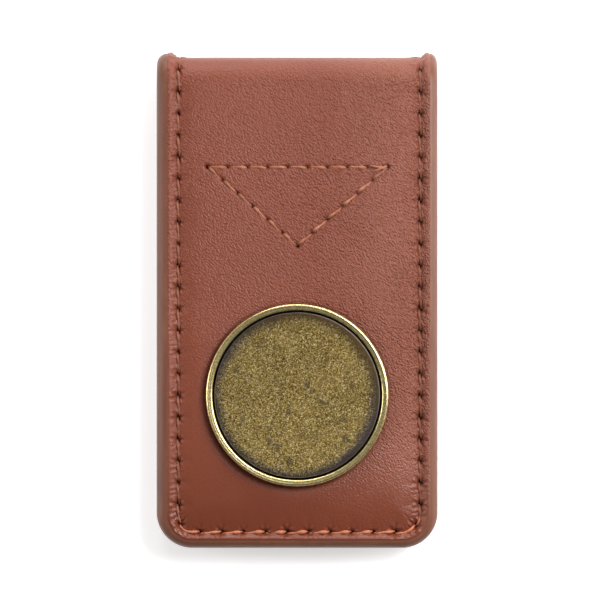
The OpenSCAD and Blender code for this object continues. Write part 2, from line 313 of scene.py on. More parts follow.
def border_shift(d, s):
    """How far inwards a line of the border at distance d is moved, at place s."""
    left = 1 - smooth((s - SIDE_L) / TURN_L)
    right = smooth((s - SEAM_L + SIDE_L + TURN_L) / TURN_L)
    end = 1 - left - right
    ridge = LEFT_RIDGE * left + END_RIDGE * end
    seam = LEFT_SEAM * left + END_SEAM * end
    border = ridge + (seam - ridge) * (d - EDGE_W) / (SEAM_D - EDGE_W)
    panel = seam * np.clip((CORNER_R - d) / (CORNER_R - SEAM_D), 0, 1)
    return np.select([d < EDGE_W, d < SEAM_D], [ridge * d / EDGE_W, border], panel)


def ripple(u, v, seed, waves, shortest, longest):
    """A smooth, repeatable unevenness, about -1 to 1."""
    rng = np.random.default_rng(seed)
    total = np.zeros(np.broadcast(u, v).shape)
    for _ in range(waves):
        angle, phase = rng.uniform(0, 2 * math.pi, 2)
        k = 2 * math.pi / rng.uniform(shortest, longest)
        total += np.sin(k * (u * math.cos(angle) + v * math.sin(angle)) + phase)
    return total / math.sqrt(waves)


def leather_height(d, s, down, swell=0.0):
    """The outer leather's surface. down is 0 over the core, and 1 where the panel is down at the bend."""
    panel = HALF_T + (BEND_CREST - HALF_T) * down
    gap, number = nearest_hole(s)
    rise = np.sqrt(np.clip(1 - (1 - np.minimum(d, EDGE_W) / EDGE_W) ** 2, 0, 1))
    edge = EDGE_FOOT_H + (PAINT_CREST_H - EDGE_FOOT_H) * rise
    start = PAINT_CREST_H + (HALF_T - PAINT_CREST_H) * smooth((d - EDGE_W) / (RIDGE_D - EDGE_W))
    valley = np.minimum(VALLEY_H, panel - VALLEY_DROP) - VALLEY_SINK * bell(gap / SINK_L)
    slope = HALF_T + (valley - HALF_T) * smooth((d - RIDGE_D) / (SEAM_D - RIDGE_D)) ** SLOPE_POWER
    u = np.clip((d - SEAM_D) / (PANEL_D - SEAM_D), 0, 1)
    pillow = valley + (panel - valley) * (1 - (1 - u) ** PILLOW_POWER)
    h = np.select([d < EDGE_W, d < RIDGE_D, d < SEAM_D], [edge, start, slope], pillow)
    across = d - SEAM_D
    h = h + swell * (FOLD_SWELL * (1 - smooth((d - RIDGE_D) / SWELL_L)) + 0.08 * bump(across / 1.3))
    # The thread pulls the leather down in each hole, and puckers it all round
    size = hole_size(number)
    h = h - HOLE_DEPTH * np.exp(-(gap / (HOLE_L * size)) ** 2 - (across / (HOLE_W * size)) ** 2)
    reach = np.hypot(gap, across)
    star = np.cos(6 * np.arctan2(across, gap) + 2.4 * number + 1.5 * np.sin(number))
    h = h + PUCKER_H * size * star * bump((reach - PUCKER_R * size) / PUCKER_W)
    fine = np.sin(2 * math.pi * s / WRINKLE_PITCH + 1.9 * np.sin(s * 0.9) + 2.2 * d)
    fine = fine * (0.5 + 0.5 * np.sin(s * 1.7 + 1))
    for height, at, width in WRINKLES:
        h = h + height * fine * bump((d - at) / width)
    return h


def tack_line(x, y, a, b, count):
    """How far points are from a row of the triangle's stitches, and from its nearest needle hole."""
    length = np.linalg.norm(b - a)
    run = (b - a) / length
    along = (x - a[0]) * run[0] + (y - a[1]) * run[1]
    across = -(x - a[0]) * run[1] + (y - a[1]) * run[0]
    step = length / count
    off_end = np.maximum(np.maximum(-along, along - length), 0)
    nearest = np.clip(np.round(along / step), 0, count) * step
    return np.hypot(across, off_end), np.hypot((along - nearest) / 1.5, across)


def tack_marks(x, y, h, line_h, line_w, hole_h, hole_w):
    """A surface's height with the triangle's stitches pressed into it."""
    for row in TACK_ROWS:
        line, hole = tack_line(x, y, *row)
        h = h + line_h * bell(line / line_w) + hole_h * bell(hole / hole_w)
    return h


def tack_holes(x, y):
    """Material of the front panel's faces: painted shade inside the triangle's needle holes."""
    inside = np.zeros(x.shape, dtype=bool)
    for row, hole_r in zip(TACK_ROWS, TACK_HOLE_R):
        inside |= tack_line(x, y, *row)[1] < hole_r
    return np.where(inside, HOLE_SHADE, GRAIN)


def front_marks(x, y, h):
    """What the triangle's stitches and the cup press into the front panel."""
    h = tack_marks(x, y, h, *TACK_PRESS)
    r = np.hypot(x, y - CUP_Y)
    h = h - CUP_PRESS * smooth((CUP_R + CUP_PRESS_W - r) / CUP_PRESS_W)
    return np.where(r < CUP_R + 0.25, np.minimum(h, CUP_SEAT_H - 0.02), h)


# ---- Leather ----
LEATHER_D = np.array([  # the lines across the border that the mesh is made of
    0, 0.02, 0.07, 0.15, 0.26, 0.4, 0.56, 0.74, 0.92, 1.08, 1.2, 1.28, 1.35, 1.42, 1.5, 1.6, 1.72, 1.86,
    2.0, 2.14, 2.27, 2.39, 2.5, 2.6, 2.69, 2.77, 2.85, 2.93, 3.01, 3.1, 3.2, 3.31, 3.43, 3.56, 3.7, 3.9,
    4.15, 4.45, 4.8, 5.15, 5.5])
PAINTED = int(np.searchsorted(LEATHER_D, EDGE_W))  # number of the line where the paint ends
UNDER_D = 3.25  # the underside is flat as far as this
RAMP_L = 3.0  # and rises over this length beside the core's edge at the fold
GRAIN, PAINT, FLESH, HOLE_SHADE = 0, 1, 2, 3  # skin_materials


def leaf_down(y):
    return (1 - FOLD_PLUMP) * np.clip((y - BEND_START_Y) / (FOLD_Y - BEND_START_Y), 0, 1) ** 2


def fold_down(angle):
    return 1 - FOLD_PLUMP * (2 * angle / math.pi - 1) ** 2


def holed(d, s):
    """Material of each face of a grid over the seam: painted shade inside the needle holes."""
    gap, number = nearest_hole(centres(s))
    across = centres(d) - SEAM_D
    ragged = 1 + 0.3 * np.cos(5 * np.arctan2(across, gap) + 2.4 * number)
    inside = np.hypot(gap / 0.34, across / 0.23) < hole_size(number) * ragged
    return np.where(inside, HOLE_SHADE, GRAIN)


def leaf_skin(name, front, cells, materials):
    """The outer leather of a leaf, as a closed piece that ends where the bend starts."""
    def surface(x, y, d, s):
        h = leather_height(d, s, leaf_down(y))
        if front:
            h = front_marks(x, y, h)
        level = smooth((d - 4.5) / 3) * (1 - smooth((y - CORE_TOP_Y + RAMP_L) / RAMP_L))
        h = h + UNEVEN_H * level * ripple(x, y, FRONT_SEED if front else BACK_SEED, *UNEVEN_WAVES)
        return on_leaf(x, y, h if front else np.minimum(h, HALF_T), front)

    outline = Outline(cells)
    soup = Soup()
    x, y = outline.field
    from_side, from_end = np.maximum(X_IN - np.abs(x), 1e-6), np.maximum(y - Y_IN, 1e-6)
    field_d = CORNER_R + (from_side ** -3 + from_end ** -3) ** (-1 / 3)
    strip, d, s, field = outline.add_face(soup, LEATHER_D, border_shift, field_d, surface)
    soup.add_grid(strip[:PAINTED + 1], PAINT)
    soup.add_grid(strip[PAINTED:], holed(d[PAINTED:], s[PAINTED:]))
    soup.add_grid(field, tack_holes(centres(x), centres(y)) if front else GRAIN)
    past_core = np.clip((outline.inset(UNDER_D)[1] - CORE_TOP_Y) / RAMP_L, 0, 1)
    under_h = PANEL_UNDER_H + (BACKING_H - PANEL_UNDER_H) * past_core
    foot, lip, pocket = outline.add_rings(soup, strip[0], front, (0, BACKING_H, PAINT),
                                          (UNDER_D, BACKING_H, FLESH), (UNDER_D, under_h, FLESH))
    # The underside's flat end, its ramp and its flat field, each between two stations on either side
    n = len(pocket)
    side_y = outline.places[:n // 2, 1]
    marks = [0] + [int(np.argmin(np.abs(side_y - v))) for v in (CORE_TOP_Y + RAMP_L, CORE_TOP_Y)]
    for a, b in zip(marks, marks[1:]):
        soup.add_polygon(FLESH, pocket[a:b + 1], pocket[n - 1 - b:n - a])
    soup.add_polygon(FLESH, pocket[marks[-1]:n - marks[-1]])
    soup.add_polygon(FLESH, strip[:, 0], field[0], strip[::-1, -1], [foot[-1], lip[-1], lip[0], foot[0]])
    return soup.mesh(name, materials)


def fold_places(zone, lines, shift):
    """The angle, x, d and s of a grid over one zone of the fold, with the same lines along both borders."""
    # Close rows at both ends, so that the shading carries on in the next zone
    rows = np.concatenate([[0, 0.008, 0.03], np.linspace(0, 1, 17)[1:-1], [0.97, 0.992, 1]])
    angle = ((zone + rows) * STEP)[:, None]
    x_in = Outline(FOLD_CELLS).x[1:-1]
    left, right = (lines + shift(lines, at) for at in (0, SEAM_L))
    x = np.concatenate([left - HALF_W, x_in, HALF_W - right[::-1]])
    d = np.concatenate([lines, HALF_W - np.abs(x_in), lines[::-1]])
    past = BEND_R * np.minimum(angle, math.pi - angle)
    s = np.where(x < 0, -past, SEAM_L + past)
    return angle, x[None, :], np.broadcast_to(d, s.shape), s


def fold_band(name, points, angle, edge, other_x, faces, materials):
    """A closed band round the fold. faces are the materials of its edges, its face and its other side."""
    edge_face, middle_face, other_face = faces
    soup = Soup()
    face = soup.add_points(points)
    soup.add_grid(face[:, :edge + 1], edge_face)
    soup.add_grid(face[:, edge:-edge], middle_face)
    soup.add_grid(face[:, -edge - 1:], edge_face)
    other = soup.add_points(round_fold(np.array([other_x]), BACKING_H, angle))
    soup.add_grid(other, other_face)
    for side in (0, -1):
        soup.add_band(face[:, side], other[:, side], edge_face)
    for row in (0, -1):
        soup.add_polygon(other_face, face[row], other[row][::-1])
    return soup.mesh(name, materials)


def fold_skin(name, zone, materials):
    """The outer leather between the middles of two stitches in the fold, with a hinge line between them."""
    angle, x, d, s = fold_places(zone, LEATHER_D, border_shift)
    points = round_fold(x, leather_height(d, s, fold_down(angle), np.sin(angle) ** 2), angle)
    faces = (PAINT, holed(d[:, PAINTED:-PAINTED], s[:, PAINTED:-PAINTED]), FLESH)
    under_x = [-HALF_W, -HALF_W + UNDER_D, HALF_W - UNDER_D, HALF_W]
    return fold_band(name, points, angle, PAINTED, under_x, faces, materials)


# ---- Lining ----
LINING_LINES = np.array([
    0.2, 0.23, 0.3, 0.4, 0.55, 0.75, 1.0, 1.4, 1.8, 2.2, 2.5, 2.7, 2.85, 3.0, 3.2, 3.5, 3.7, 3.85, 4.0,
    4.15, 4.3, 4.45, 4.65, 5.0, 5.5])
LINING_ROUND = 0.3  # radius of its edge
LINING_EDGE = 4  # number of the line where the painted edge ends
LINING, CUT = 0, 1  # lining_materials


def tray_depth(x, y):
    """0 on the flange and 1 on the tray: the lining is moulded over the core's edge."""
    half_w = HALF_W - CORE_D - CORE_CORNER_R
    y0, y1 = -HALF_L + CORE_D + CORE_CORNER_R, CORE_TOP_Y - CORE_CORNER_R
    dx = np.maximum(np.abs(x) - half_w, 0)
    dy = np.maximum(np.maximum(y0 - y, y - y1), 0)
    out = np.hypot(dx, dy) - CORE_CORNER_R
    return 1 - smooth((out - 0.25) / 0.65)


def lining_height(x, y, d, s):
    h = FLANGE_H + (INNER_H - FLANGE_H) * tray_depth(x, y)
    gap, _ = nearest_hole(s)
    h = h + 0.12 * bell((d - SEAM_D) / 0.3) + 0.3 * np.exp(-(gap / 0.3) ** 2 - ((d - SEAM_D) / 0.2) ** 2)
    rounding = np.clip((LINING_D + LINING_ROUND - d) / LINING_ROUND, 0, 1)
    return h + LINING_ROUND * (1 - np.sqrt(1 - rounding ** 2))


def lining_shift(d, s):
    """The lining follows the seam, but its own edge stays where it is."""
    return border_shift(d, s) * smooth((d - 0.6) / 1.0)


def leaf_lining(name, front, materials):
    """A leaf's lining, pocketed for the core."""
    def surface(x, y, d, s):
        h = lining_height(x, y, d, s)
        return on_leaf(x, y, tack_marks(x, y, h, *TACK_RAISE) if front else h, front)

    outline = Outline(LINING_CELLS)
    soup = Soup()
    strip, _, _, field = outline.add_face(soup, LINING_LINES, lining_shift, CORNER_R, surface)
    soup.add_grid(strip[:LINING_EDGE + 1], CUT)
    soup.add_grid(strip[LINING_EDGE:], LINING)
    soup.add_grid(field, LINING)
    floor_h = np.where(outline.inset(CORE_D)[1] > CORE_TOP_Y, BACKING_H - 0.001, TRAY_FLOOR_H)
    rim, lip, pocket = outline.add_rings(soup, strip[0], front, (LINING_D, BACKING_H, CUT),
                                         (CORE_D, BACKING_H, LINING), (CORE_D, floor_h, LINING))
    # Beyond the core, the step at its edge, and the tray's floor
    n = len(pocket)
    mark = int(np.argmax(outline.places[:n // 2, 1] <= CORE_TOP_Y))
    soup.add_polygon(LINING, pocket[:mark], pocket[n - mark:])
    soup.add_polygon(LINING, pocket[mark - 1:mark + 1], pocket[n - 1 - mark:n - mark + 1])
    soup.add_polygon(LINING, pocket[mark:n - mark])
    soup.add_polygon(LINING, strip[:, 0], field[0], strip[::-1, -1],
                     [rim[-1], lip[-1], pocket[-1], pocket[0], lip[0], rim[0]])
    return soup.mesh(name, materials)


def fold_lining(name, zone, materials):
    """The lining of one zone of the fold."""
    angle, x, d, s = fold_places(zone, LINING_LINES, lining_shift)
    points = round_fold(x, lining_height(x, np.full(s.shape, FOLD_Y), d, s), angle)
    return fold_band(name, points, angle, LINING_EDGE, [LINING_D - HALF_W, HALF_W - LINING_D],
                     (CUT, LINING, LINING), materials)


# ---- Felt ----
FELT_RINGS = np.array([0, 0.004, 0.012, 0.03, 0.08, 0.2, 0.4, 0.6, 0.8, 0.92, 0.97, 0.99, 1])
FELT_CELL = 0.8
FELT_THIN = 0.3  # part of its thickness that the felt loses towards its edges
FELT_PULL = 0.12  # how far its sides pull in between the corners


def felt_pad(name, node, front, hole_r, material):
    """Felt over a leaf's board, holed for the magnet: flat on the board, and crowned on the other side."""
    low, high = box_mm(node)
    half = (high[:2] - low[:2]) / 2
    middle = (high[:2] + low[:2]) / 2
    corners = []
    for i, side in enumerate(((1, 1), (-1, 1), (-1, -1), (1, -1))):
        a = np.linspace(0, math.pi / 2, 9) + i * math.pi / 2
        corners.append((half - CORE_CORNER_R) * side + CORE_CORNER_R * joined(np.cos(a), np.sin(a)))
    corners = np.concatenate(corners + [corners[0][:1]])
    run = distance_along(corners)
    at = np.linspace(0, run[-1], round(run[-1] / FELT_CELL), endpoint=False)
    outline = joined(np.interp(at, run, corners[:, 0]), np.interp(at, run, corners[:, 1]))
    pull = np.sign(outline) * FELT_PULL * np.cos(outline[:, ::-1] / half[::-1] * math.pi / 2)
    outline = outline - pull + middle
    angle = np.arctan2(outline[:, 1] - CUP_Y, outline[:, 0])
    hole = joined(hole_r * np.cos(angle), CUP_Y + hole_r * np.sin(angle))
    t = FELT_RINGS[:, None, None]
    flat = outline * (1 - t) + hole * t
    under, top = (low[2], high[2]) if front else (high[2], low[2])
    crown = 1 - FELT_THIN * np.abs(2 * FELT_RINGS - 1) ** 8
    soup = Soup()
    sheets = []
    for level in (np.zeros(len(t)), crown):
        z = np.broadcast_to((under + (top - under) * level)[:, None, None], flat[..., :1].shape)
        ids = soup.add_points(np.concatenate([flat, z], axis=-1))
        sheets.append(np.concatenate([ids, ids[:, :1]], axis=1))
        soup.add_grid(sheets[-1])
    for row in (0, -1):
        soup.add_band(sheets[0][row], sheets[1][row])
    return soup.mesh(name, [material])


# ---- Thread ----
THREAD_TWIST = 5.2  # radians for each millimetre
SHOWN_R = 0.2  # the outside stitches are pulled tight, and thinner for it
STITCH_POINTS = 15
ROPE_SIDES = 14
DIP = 0.6  # how deep a stitch's ends go into their holes
BOBBIN_DIP, TACK_BOBBIN_DIP, KNOT_DIP = 0.45, 0.3, 0.4
SEAM_SKEW, TACK_SKEW = 0.17, 0.11  # how far a stitch's ends are off the line
OVERSEWN = ((-2.6, 0.25, -0.25, -0.3, 0.2), (-2.2, -0.75, -0.1, 0.1, 0.3))  # from x, y to x, y, and height


def distance_along(path):
    return np.concatenate([[0], np.cumsum(np.linalg.norm(np.diff(path, axis=0), axis=1))])


def seam_place(s, h, front):
    """Point on the seam line at height h, and the direction out of the clip there."""
    mirrored = s > SEAM_L / 2
    t = np.where(mirrored, SEAM_L - s, s)
    turn = np.clip((t - SIDE_L) / TURN_L, 0, 1) * math.pi / 2
    seam_r = CORNER_R - SEAM_D
    x = -X_IN - seam_r * np.cos(turn) + np.maximum(t - SIDE_L - TURN_L, 0)
    y = np.where(t < SIDE_L, FOLD_Y - np.maximum(t, 0), Y_IN - seam_r * np.sin(turn))
    angle = np.maximum(-t, 0) / BEND_R
    side = 1.0 if front else -1.0
    up = joined(0.0, np.sin(angle), side * np.cos(angle))
    moved = border_shift(np.full_like(s, SEAM_D), s)
    x = np.where(mirrored, -x, x) + moved * np.where(mirrored, -1.0, 1.0) * np.cos(turn)
    y = y + moved * np.sin(turn)
    return joined(x, y, HALF_T) + up * h[..., None], up


def valley_height(s):
    """Height of the seam's valley, on a leaf and round the fold."""
    past = np.maximum(np.maximum(-s, s - SEAM_L), 0)
    on_leaf_down = leaf_down(FOLD_Y - np.minimum(s, SEAM_L - s))
    down = np.where(past > 0, fold_down(math.pi - past / BEND_R), on_leaf_down)
    return np.minimum(VALLEY_H, HALF_T + (BEND_CREST - HALF_T) * down - VALLEY_DROP)


def rope(soup, path, up, radius):
    """A closed length of three-ply thread along a path, with one radius or a radius for each point."""
    tangent = unit(np.gradient(path, axis=0))
    side = unit(np.cross(tangent, up))
    top = np.cross(side, tangent)
    around = np.linspace(0, 2 * math.pi, ROPE_SIDES, endpoint=False)
    turned = around[None, :] + (distance_along(path) * THREAD_TWIST)[:, None]
    r = np.reshape(radius, (-1, 1)) * (0.74 + 0.3 * np.abs(np.cos(1.5 * turned)) ** 0.8)
    ids = soup.add_points(path[:, None, :] + r[..., None] * (
        np.cos(around)[None, :, None] * side[:, None, :] + np.sin(around)[None, :, None] * top[:, None, :]))
    soup.add_tube(ids)
    soup.add_polygon(0, ids[0][::-1])
    soup.add_polygon(0, ids[-1])


def seam_stitch(soup, s0, s1, front, outside, rng):
    """One stitch from hole to hole, a little askew, with both ends pulled into their holes."""
    t = np.linspace(0, 1, STITCH_POINTS)
    lie = 1 - np.abs(2 * t - 1) ** 4
    skew = rng.uniform(0.75, 1.25)
    run = s0 + (s1 - s0) * (0.03 + 0.94 * t)
    if outside:
        # The thread lies deepest where it comes up, and stands proud before it goes down again. It is
        # looser at the open end
        proud = bump((t if s0 > SIDE_L else 1 - t) / 0.3 - 2.4)
        loose = bump((s0 + s1 - SEAM_L) / (END_L + TURN_L))
        h = valley_height(run) - 0.06 - 0.09 * loose
        h = h + ((0.17 + 0.17 * loose) * proud + 0.04 * rng.uniform(-1, 1)) * lie
        h = h - DIP * (1 - lie)
        radius = SHOWN_R * (0.92 + (0.3 + 0.35 * loose) * proud)
    else:
        h = FLANGE_H + 0.12 - THREAD_R * 0.6 + BOBBIN_DIP * (1 - lie)
        radius = THREAD_R
    path, up = seam_place(run, h, front)
    inward = unit(np.cross(np.gradient(path, axis=0), up) * (1.0 if front else -1.0))
    offset = SEAM_SKEW * skew * (2 * t - 1) + 0.05 * rng.uniform(-1, 1)
    rope(soup, path - inward * offset[:, None], up if outside else -up, radius)


def seam_thread(name, rows, front, rng, material):
    """All stitches, outside and inside, between the needle holes of each row."""
    soup = Soup()
    for row in rows:
        for s0, s1 in zip(row, row[1:]):
            for outside in (True, False):
                seam_stitch(soup, s0, s1, front, outside, rng)
    return soup.mesh(name, [material], sharp_deg=180)


def triangle_thread(name, rng, material):
    """The triangle's stitches, outside and inside."""
    soup = Soup()
    t = np.linspace(0, 1, STITCH_POINTS)
    lie = 1 - np.abs(2 * t - 1) ** 5
    outwards = np.tile([0.0, 0.0, 1.0], (len(t), 1))
    proud = bump(t / 0.28 - 2.6)
    for a, b, count in TACK_ROWS:
        run = (b - a) / count
        across = np.array([-run[1], run[0]]) / np.linalg.norm(run)
        for i in range(count):
            for outside in (True, False):
                offset = TACK_SKEW * rng.uniform(0.5, 1.4) * (1 - 2 * t)
                flat = a + run * i + run * (0.04 + 0.92 * t)[:, None] + across * offset[:, None]
                if outside:
                    radius = SHOWN_R * (0.85 + 0.5 * proud)
                    h = HALF_T - 0.17 + (0.18 * proud + 0.03 * rng.uniform(-1, 1)) * lie - DIP * (1 - lie)
                else:
                    radius = THREAD_R
                    h = INNER_H + 0.14 - THREAD_R * 0.5 + TACK_BOBBIN_DIP * (1 - lie)
                path = on_leaf(flat[:, 0], flat[:, 1], h, True)
                rope(soup, path, outwards if outside else -outwards, radius)
    # The stitching starts and ends at the right corner, sewn over twice
    for x0, y0, x1, y1, lift in OVERSEWN:
        flat = TRIANGLE[1] + np.outer(1 - t, [x0, y0]) + np.outer(t, [x1, y1])
        h = HALF_T + lift * lie - KNOT_DIP * (1 - lie)
        rope(soup, on_leaf(flat[:, 0], flat[:, 1], h, True), outwards, SHOWN_R)
    return soup.mesh(name, [material], sharp_deg=180)


# ---- Metal ----
LATHE_SIDES = 192
RIM_OUT_R, RIM_IN_R, RIM_DISH = 0.36, 0.3, 0.03  # the rim's rounded edges, and how much lower it is inside
CUP_FILLET = 0.15
PRONG_BEND_R = 0.75
MARKER_TOP_R, MARKER_UNDER_R = 0.14, 0.12  # the marker's rounded edges


def lathe(soup, profile):
    """Revolves (r, h) points round the cup's axis. The first and last points lie on the axis."""
    profile = np.array(profile)
    angle = np.linspace(0, 2 * math.pi, LATHE_SIDES, endpoint=False)[None, :]
    soup.add_tube(soup.add_points(on_leaf(
        profile[:, :1] * np.cos(angle), CUP_Y + profile[:, :1] * np.sin(angle),
        np.broadcast_to(profile[:, 1:], (len(profile), LATHE_SIDES)), True)))


def arc(cx, cy, radius, start_deg, end_deg, count):
    a = np.radians(np.linspace(start_deg, end_deg, count))
    return [(cx + radius * math.cos(v), cy + radius * math.sin(v)) for v in a]


def prong(soup, angle_deg, points):
    """A bent strip of metal: points are (r, h) along one face, and it lies towards -r and +h of them."""
    out = np.array([math.cos(math.radians(angle_deg)), math.sin(math.radians(angle_deg))])
    across = np.array([-out[1], out[0]])
    face = np.array(points, dtype=float)
    tangent = unit(np.gradient(face, axis=0))
    other = face + PRONG_T * joined(-tangent[:, 1], tangent[:, 0])
    rows = []
    for profile, v in ((face, -1), (face, 1), (other, 1), (other, -1)):
        flat = profile[:, :1] * out + across * v * PRONG_W / 2
        rows.append(on_leaf(flat[:, 0], flat[:, 1] + CUP_Y, profile[:, 1], True))
    ids = soup.add_points(np.stack(rows, axis=1))
    soup.add_tube(ids)
    soup.add_polygon(0, ids[0])
    soup.add_polygon(0, ids[-1][::-1])


def marker_cup(name, material):
    """The cup, one pressing with a rounded rim, and its four prongs, bent outwards under the leather."""
    soup = Soup()
    profile = ([(0, CUP_SEAT_H), (CUP_R * 0.5, CUP_SEAT_H)] +
               arc(CUP_R - CUP_FILLET, CUP_SEAT_H + CUP_FILLET, CUP_FILLET, -90, 0, 5) +
               arc(CUP_R - RIM_OUT_R, CUP_TOP_H - RIM_OUT_R, RIM_OUT_R, 0, 90, 12) +
               [(CUP_R - RIM_OUT_R - 0.1, CUP_TOP_H - 0.035), (RECESS_R + RIM_IN_R, CUP_TOP_H - RIM_DISH)] +
               arc(RECESS_R + RIM_IN_R, CUP_TOP_H - RIM_DISH - RIM_IN_R, RIM_IN_R, 96, 180, 10) +
               arc(RECESS_R - CUP_FILLET, CUP_FLOOR_H + CUP_FILLET, CUP_FILLET, 0, -90, 5) +
               [(CUP_R * 0.5, CUP_FLOOR_H), (0, CUP_FLOOR_H)])
    lathe(soup, profile)
    bend_h = PRONG_FOOT_H + PRONG_BEND_R
    path = ([(PRONG_R, CUP_SEAT_H + 0.1), (PRONG_R, bend_h)] +
            arc(PRONG_R + PRONG_BEND_R, bend_h, PRONG_BEND_R, 195, 270, 6) +
            [(PRONG_R + PRONG_FOOT, PRONG_FOOT_H)])
    for i in range(4):
        prong(soup, 45 + 90 * i, path)
    return soup.mesh(name, [material], sharp_deg=60)


def ball_marker(name, material):
    """The marker, a disc with rounded edges."""
    soup = Soup()
    rings = np.linspace(0, MARKER_R - MARKER_TOP_R, 14)
    lathe(soup, [(r, MARKER_H0) for r in rings] +
          arc(MARKER_R - MARKER_UNDER_R, MARKER_H0 + MARKER_UNDER_R, MARKER_UNDER_R, -80, 0, 4) +
          arc(MARKER_R - MARKER_TOP_R, MARKER_H1 - MARKER_TOP_R, MARKER_TOP_R, 0, 90, 8) +
          [(r, MARKER_H1) for r in rings[-2::-1]])
    return soup.mesh(name, [material], sharp_deg=60)


# ---- Materials ----
class Nodes:
    """Short ways to add and join shader nodes."""

    def __init__(self, tree):
        self.tree = tree

    def put(self, socket, value):
        if isinstance(value, bpy.types.NodeSocket):
            self.tree.links.new(value, socket)
        elif socket.type == "RGBA":
            socket.default_value = (*value, 1.0)
        else:
            socket.default_value = value

    def add(self, kind, inputs=(), **settings):
        """A node from its settings, and its inputs in order, or by name or number."""
        node = self.tree.nodes.new("ShaderNode" + kind)
        for key, value in settings.items():
            setattr(node, key, value)
        for key, value in (inputs if isinstance(inputs, dict) else dict(enumerate(inputs))).items():
            self.put(node.inputs[key], value)
        return node

    def axes(self, vector):
        return self.add("SeparateXYZ", (vector,)).outputs

    def math(self, operation, *values):
        return self.add("Math", values, operation=operation).outputs[0]

    def multiply(self, first, *others):
        for other in others:
            first = self.math("MULTIPLY", first, other)
        return first

    def plus(self, base, value, factor):
        """The base plus factor times the value."""
        return self.math("MULTIPLY_ADD", value, factor, base)

    def ramp(self, value, low, high, to_low=0.0, to_high=1.0):
        return self.add("MapRange", (value, low, high, to_low, to_high),
                        interpolation_type="SMOOTHSTEP").outputs[0]


class Surface(Nodes):
    """A procedural material. Its patterns are measured in millimetres, in the piece's own space."""

    def __init__(self, name):
        self.material = bpy.data.materials.new(name)
        self.material.use_nodes = True
        super().__init__(self.material.node_tree)
        self.tree.nodes.clear()
        self.shader = self.add("BsdfPrincipled")
        self.add("OutputMaterial", (self.shader.outputs[0],))
        self.mm = self.mapped(self.add("TexCoord").outputs["Object"], scale=(1 / MM,) * 3)

    def mapped(self, vector, location=(0, 0, 0), turn_z=0.0, scale=(1, 1, 1)):
        turn = (0, 0, math.radians(turn_z))
        return self.add("Mapping", (vector, location, turn, scale)).outputs[0]

    def noise(self, vector, cell, detail=2.0, roughness=0.5, output="Fac"):
        """Noise with features about cell millimetres long, from 0 to 1."""
        return self.add("TexNoise", {"Vector": vector, "Scale": 1 / cell, "Detail": detail,
                                               "Roughness": roughness}).outputs[output]

    def cells(self, vector, cell, smoothness=None, output="Distance"):
        """Cells about as wide as given, with soft edges if a smoothness is."""
        inputs = {"Vector": vector, "Scale": 1 / cell}
        if smoothness is None:
            return self.add("TexVoronoi", inputs).outputs[output]
        inputs["Smoothness"] = smoothness
        return self.add("TexVoronoi", inputs, feature="SMOOTH_F1").outputs[output]

    def warp(self, vector, cell, amount):
        """The vector, pushed about by noise, so that a pattern on it isn't regular."""
        push = self.noise(vector, cell, output="Color")
        inputs = (push, (amount,) * 3, vector)
        return self.add("VectorMath", inputs, operation="MULTIPLY_ADD").outputs[0]

    def mix(self, factor, a, b):
        return self.add("Mix", {"Factor": factor, 6: a, 7: b}, data_type="RGBA").outputs[2]

    def layers(self, color, *layers):
        """Colours laid over the first. Each comes after its ramp: what it goes by, and how strong it is."""
        for *ramp, over in layers:
            color = self.mix(self.ramp(*ramp), color, over)
        return color

    def finish(self, color, roughness, height=None, depth_mm=0.0, **values):
        """The material. Its relief has a height of 0 to 1 that stands depth_mm proud."""
        values.update(Base_Color=color, Roughness=roughness)
        if height is not None:
            values["Normal"] = self.add("Bump", {"Height": height, "Strength": 1.0,
                                                           "Distance": depth_mm * MM}).outputs[0]
        for key, value in values.items():
            self.put(self.shader.inputs[key.replace("_", " ")], value)
        return self.material


def grain_leather(name):
    """Reddish brown leather: a fine grain with creases that run from upper left to lower right, with painted
    shade in the grain's hollows and towards the open end, and a painted sheen on the +X side.
    """
    crease_l, pebble_l, width = 0.48, 0.35, 0.26
    n = Surface(name)
    turned = n.mapped(n.warp(n.mm, 1.3, 0.3), turn_z=45)
    grain = n.noise(n.mapped(turned, scale=(1 / crease_l, 1 / width, 1 / width)), 1, 2, 0.55)
    pebble = n.cells(n.mapped(turned, scale=(1 / pebble_l, 1 / width, 1 / width)), 1, 0.4)
    pores = n.noise(n.mm, 0.16, 2, 0.6)
    broad = n.noise(n.mm, 9)
    x, y, _ = n.axes(n.mm)
    # The grain is faint towards the lower left and in the fold, and deepest on the +X side
    calm = n.multiply(n.ramp(n.plus(y, x, 0.5), -30, 6, 0.22, 1), n.ramp(y, 33, 37, 1, 0.4))
    amount = n.multiply(calm, n.ramp(broad, 0.3, 0.7, 0.75, 1.1))
    depth = n.multiply(n.ramp(x, -14, 12, 0.65, 1.7), n.ramp(y, -34, -20, 0.4, 1))
    height = n.plus(grain, pebble, -0.8)
    # Painted shade in the grain's hollows, weaker where the grain is faint
    hollow_shade = n.multiply(n.ramp(height, -0.15, 0.3, 0.42, 0), amount)
    relief = n.plus(n.multiply(height, amount, depth), pores, 0.07)
    # Painted sheen: a paler, greyer colour over the +X side, fading towards the open end
    painted_sheen = n.multiply(n.ramp(x, 2, 15, 0, 0.55), n.ramp(y, -33, -22, 0.15, 1))
    color = n.layers(
        (0.163, 0.0405, 0.0205),
        (broad, 0.3, 0.7, (0.181, 0.0455, 0.0235)),
        (y, -34, -22, 0.4, 0, (0.09, 0.019, 0.007)),  # painted shade towards the open end
        (x, 18.3, 19.2, 0, 0.5, (0.155, 0.056, 0.031)))  # paler border on the +X side
    # The painted sheen over the colour, then the painted shade in the grain's hollows
    color = n.mix(hollow_shade, n.mix(painted_sheen, color, (0.225, 0.077, 0.049)), (0.085, 0.018, 0.009))
    return n.finish(color, n.ramp(y, -34, -14, 0.29, 0.4), relief, 0.19, Specular_IOR_Level=0.29)


def needle_hole_shade(name):
    """Painted shade inside a needle hole."""
    return Surface(name).finish((0.08, 0.019, 0.01), 0.8, Specular_IOR_Level=0.15)


